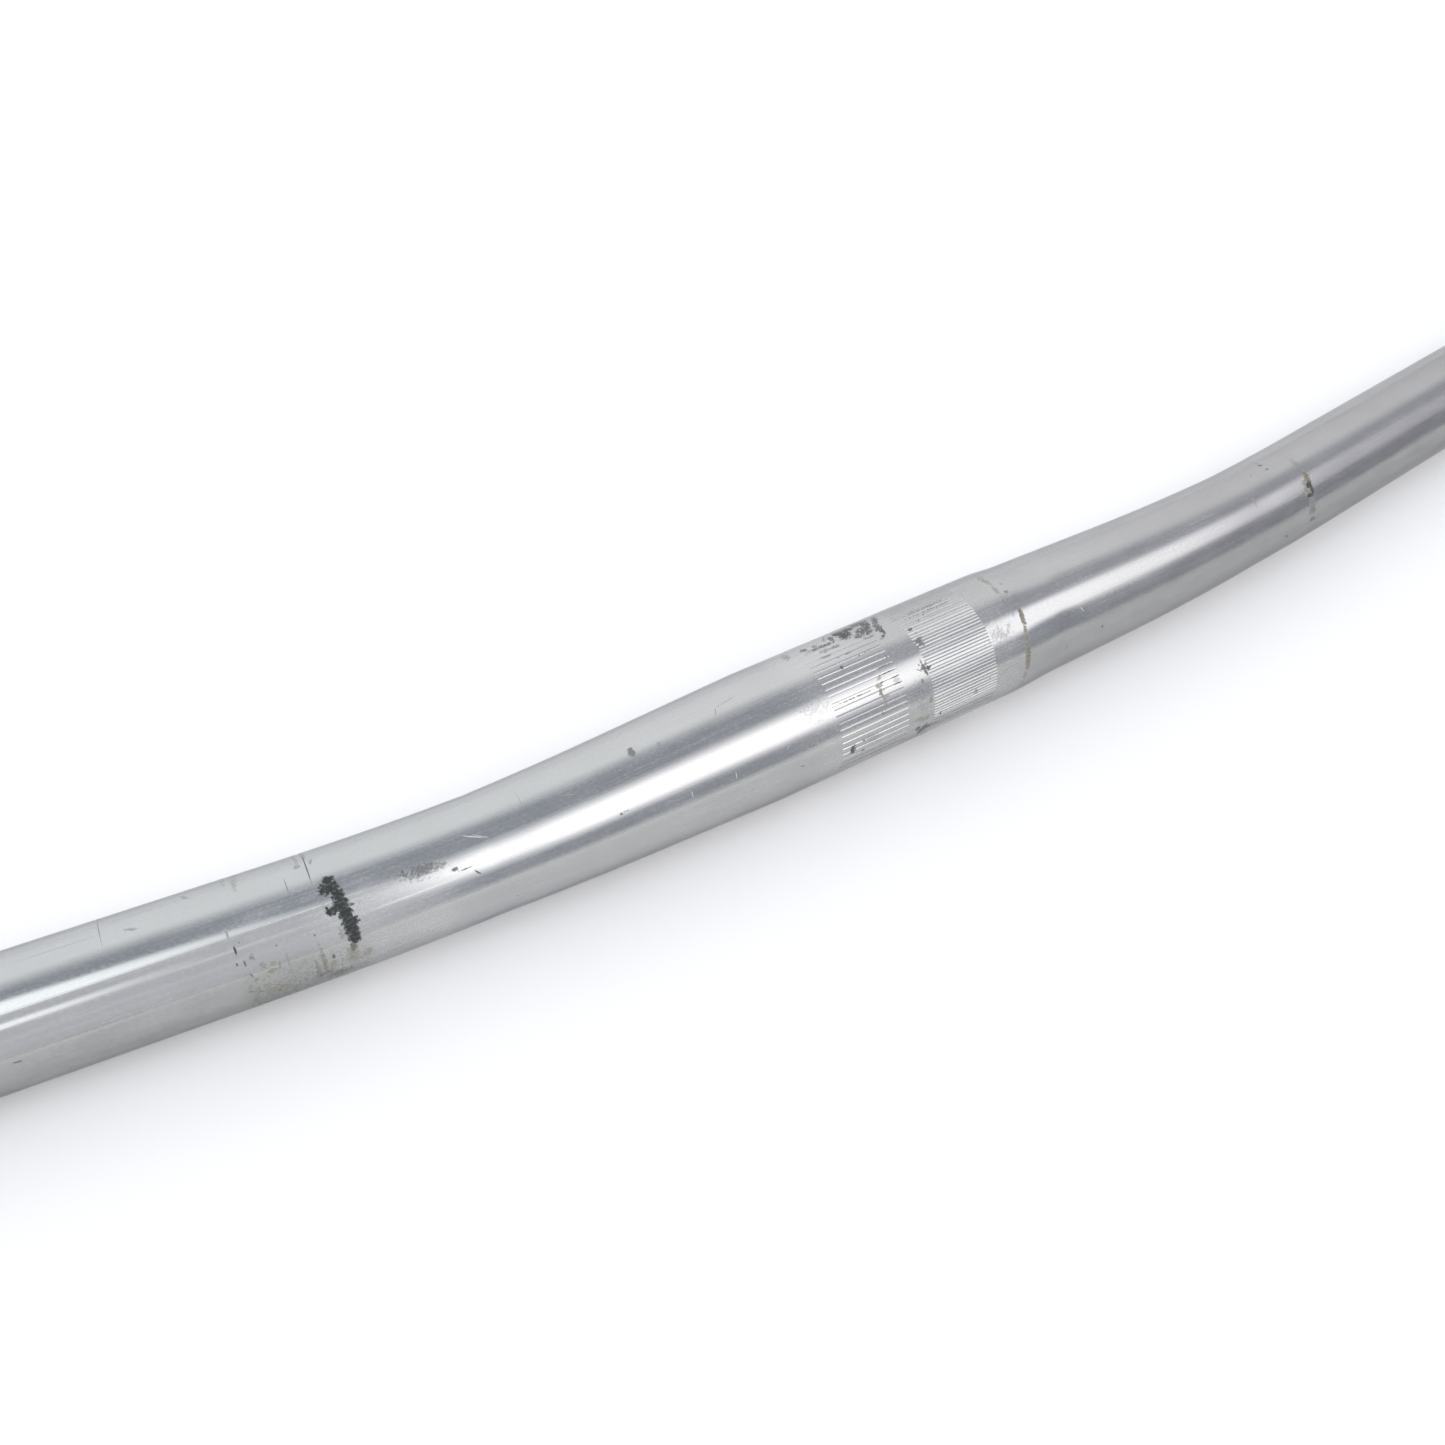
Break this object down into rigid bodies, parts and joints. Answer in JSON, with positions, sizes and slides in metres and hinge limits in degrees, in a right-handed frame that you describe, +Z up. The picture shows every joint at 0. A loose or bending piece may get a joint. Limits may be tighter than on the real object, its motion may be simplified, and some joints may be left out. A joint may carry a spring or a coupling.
{
  "type": "flat handlebar",
  "caption": "Flat bicycle handlebar: a polished aluminium tube, thicker and knurled at the stem clamp, tapering out to slightly swept-back grips with open ends.",
  "frame": {"origin": "middle of the stem clamp, on the axis of the tube", "axes": "+X along the bar towards its finely knurled side, +Y the way the ends sweep back, +Z up from the level surface the bar rests on"},
  "size_m": [0.56, 0.0442, 0.026],
  "materials": {
    "tube": "polished, worn and slightly hazy"
  },
  "bodies": {
    "root": {"handlebar": "tube"}
  },
  "joints": []
}
